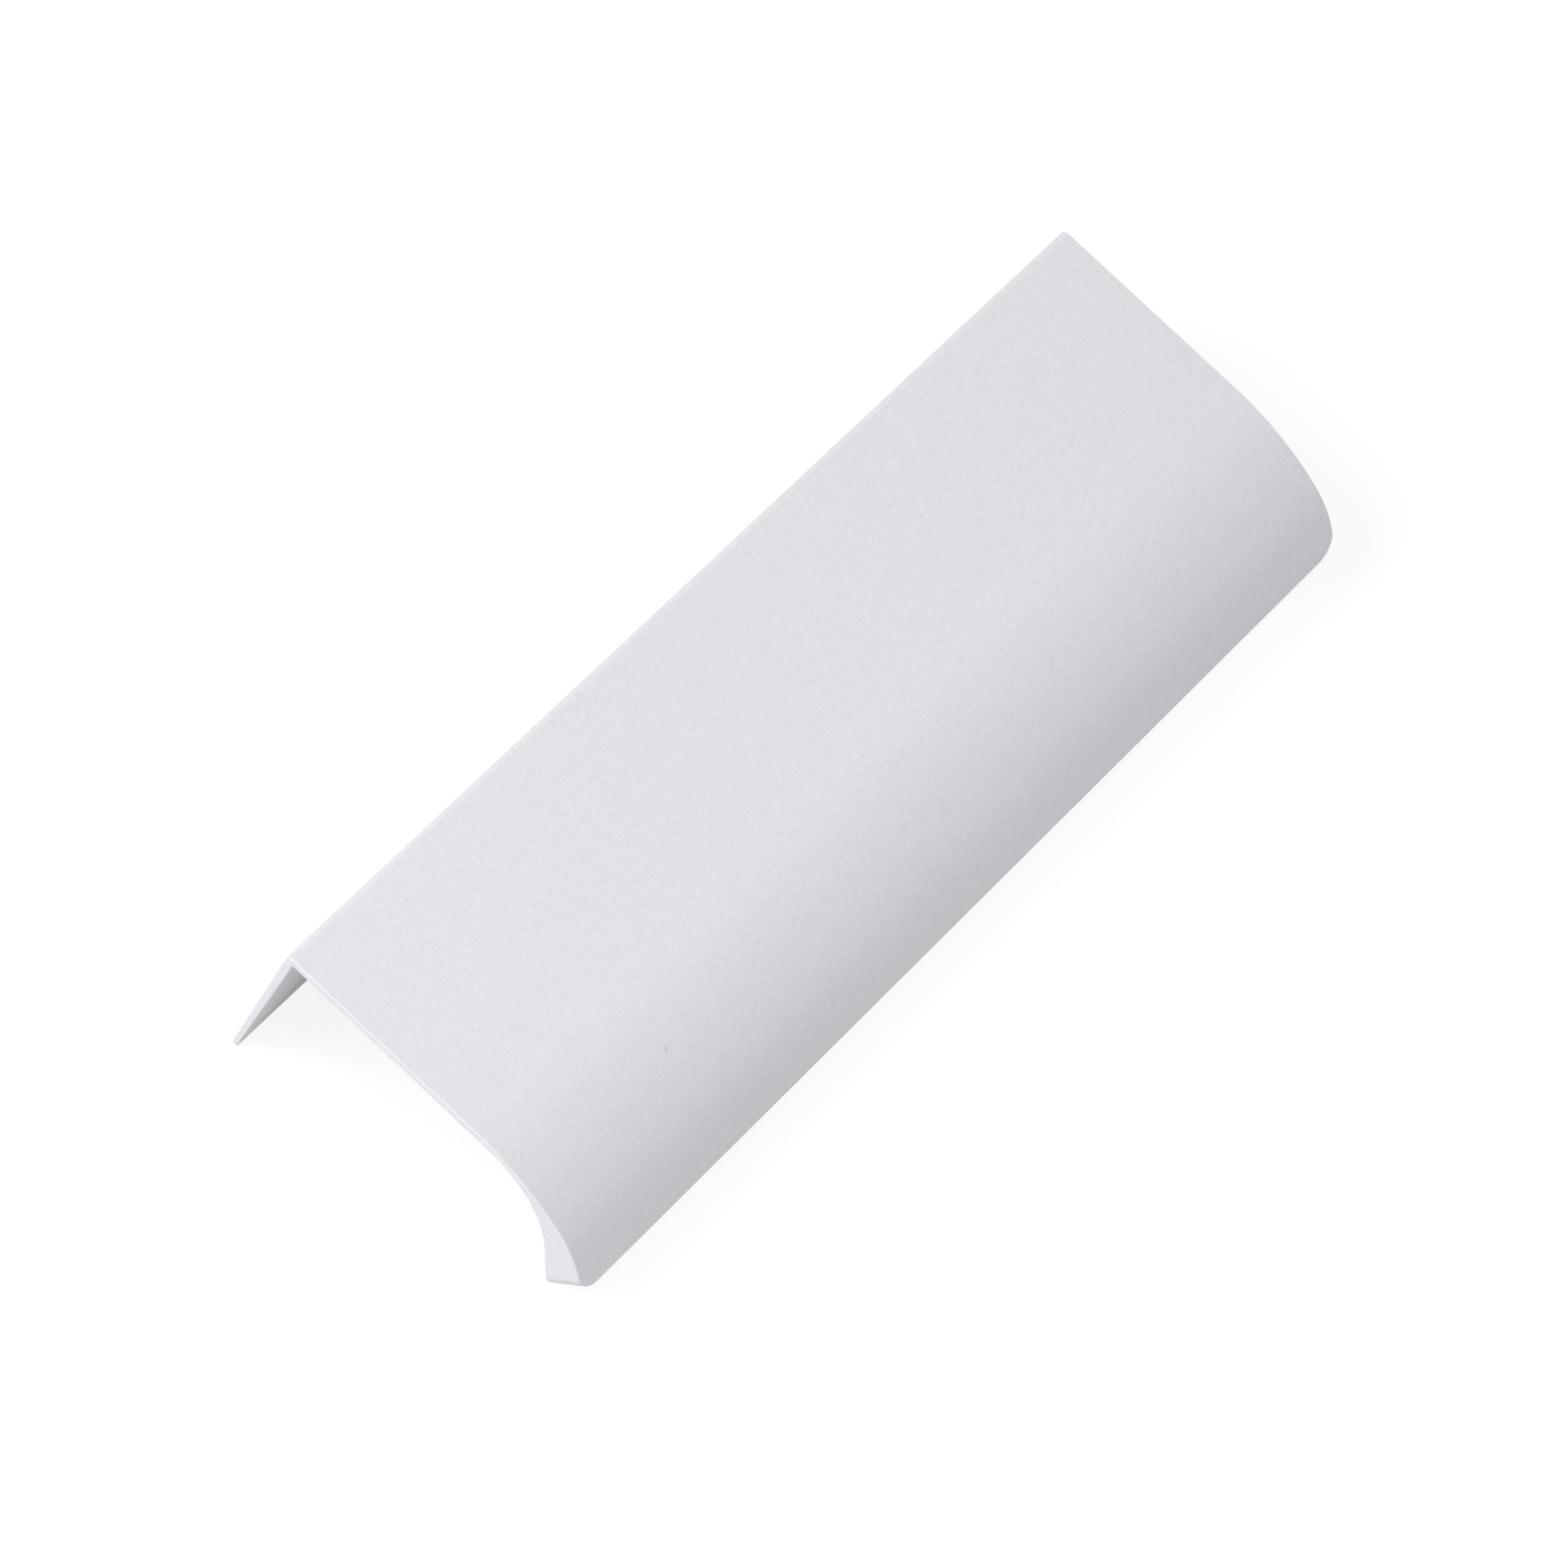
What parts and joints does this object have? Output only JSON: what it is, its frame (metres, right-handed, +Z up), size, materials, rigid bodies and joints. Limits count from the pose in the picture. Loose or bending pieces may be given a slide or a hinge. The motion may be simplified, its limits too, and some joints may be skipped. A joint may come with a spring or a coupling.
{
  "type": "lip pull handle",
  "caption": "White coated aluminium lip pull: a flat plate with a short screw flange down its back and a thickened lip curving down in front, to pull a door or drawer by its edge.",
  "frame": {"origin": "centre of the bounding box's footprint, on the floor that the handle rests on", "axes": "+X along the profile's length, -Y towards the lip, +Y towards the flange, +Z up as the handle lies on its flange edge and lip edge"},
  "size_m": [0.12, 0.0414, 0.0183],
  "materials": {
    "white_powder_coat": "matte white powder coat, fine grained, on an aluminium profile"
  },
  "bodies": {
    "root": {"handle_profile": "white_powder_coat"}
  },
  "joints": []
}
